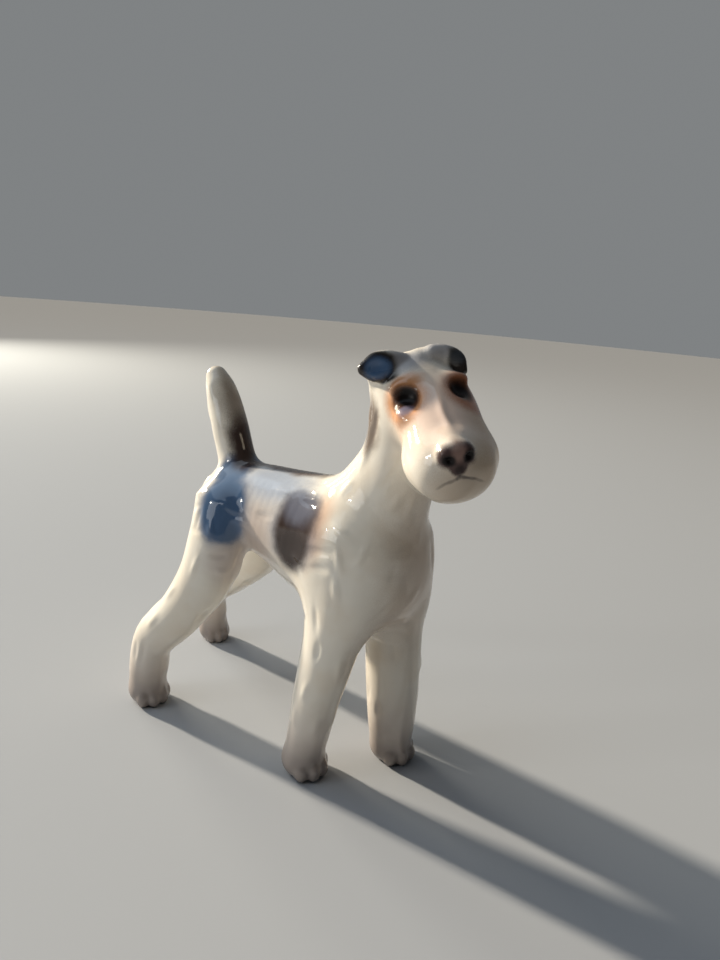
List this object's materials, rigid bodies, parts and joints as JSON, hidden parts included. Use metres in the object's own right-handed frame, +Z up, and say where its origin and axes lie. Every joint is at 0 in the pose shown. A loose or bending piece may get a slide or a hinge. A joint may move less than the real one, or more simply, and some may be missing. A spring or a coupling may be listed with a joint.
{
  "type": "terrier figurine",
  "caption": "Glazed porcelain figurine of a standing wire-haired terrier with a docked upright tail and folded ears.",
  "frame": {"origin": "middle of the bounding box in plan, at the undersides of the feet", "axes": "the dog faces -Y, +X is the dog's left side, +Z is up"},
  "size_m": [0.0452, 0.1086, 0.1053],
  "materials": {
    "white_glaze": "clear glaze over soft underglaze patches of blue-black, brown, tan and grey",
    "dark_glaze": "clear glaze over blue-black underglaze"
  },
  "bodies": {
    "root": {"torso_shell": "white_glaze", "head_shell": "white_glaze", "left_ear": "dark_glaze", "right_ear": "dark_glaze", "tail": "white_glaze", "front_left_leg": "white_glaze", "front_right_leg": "white_glaze", "rear_left_leg": "white_glaze", "rear_right_leg": "white_glaze"}
  },
  "joints": []
}
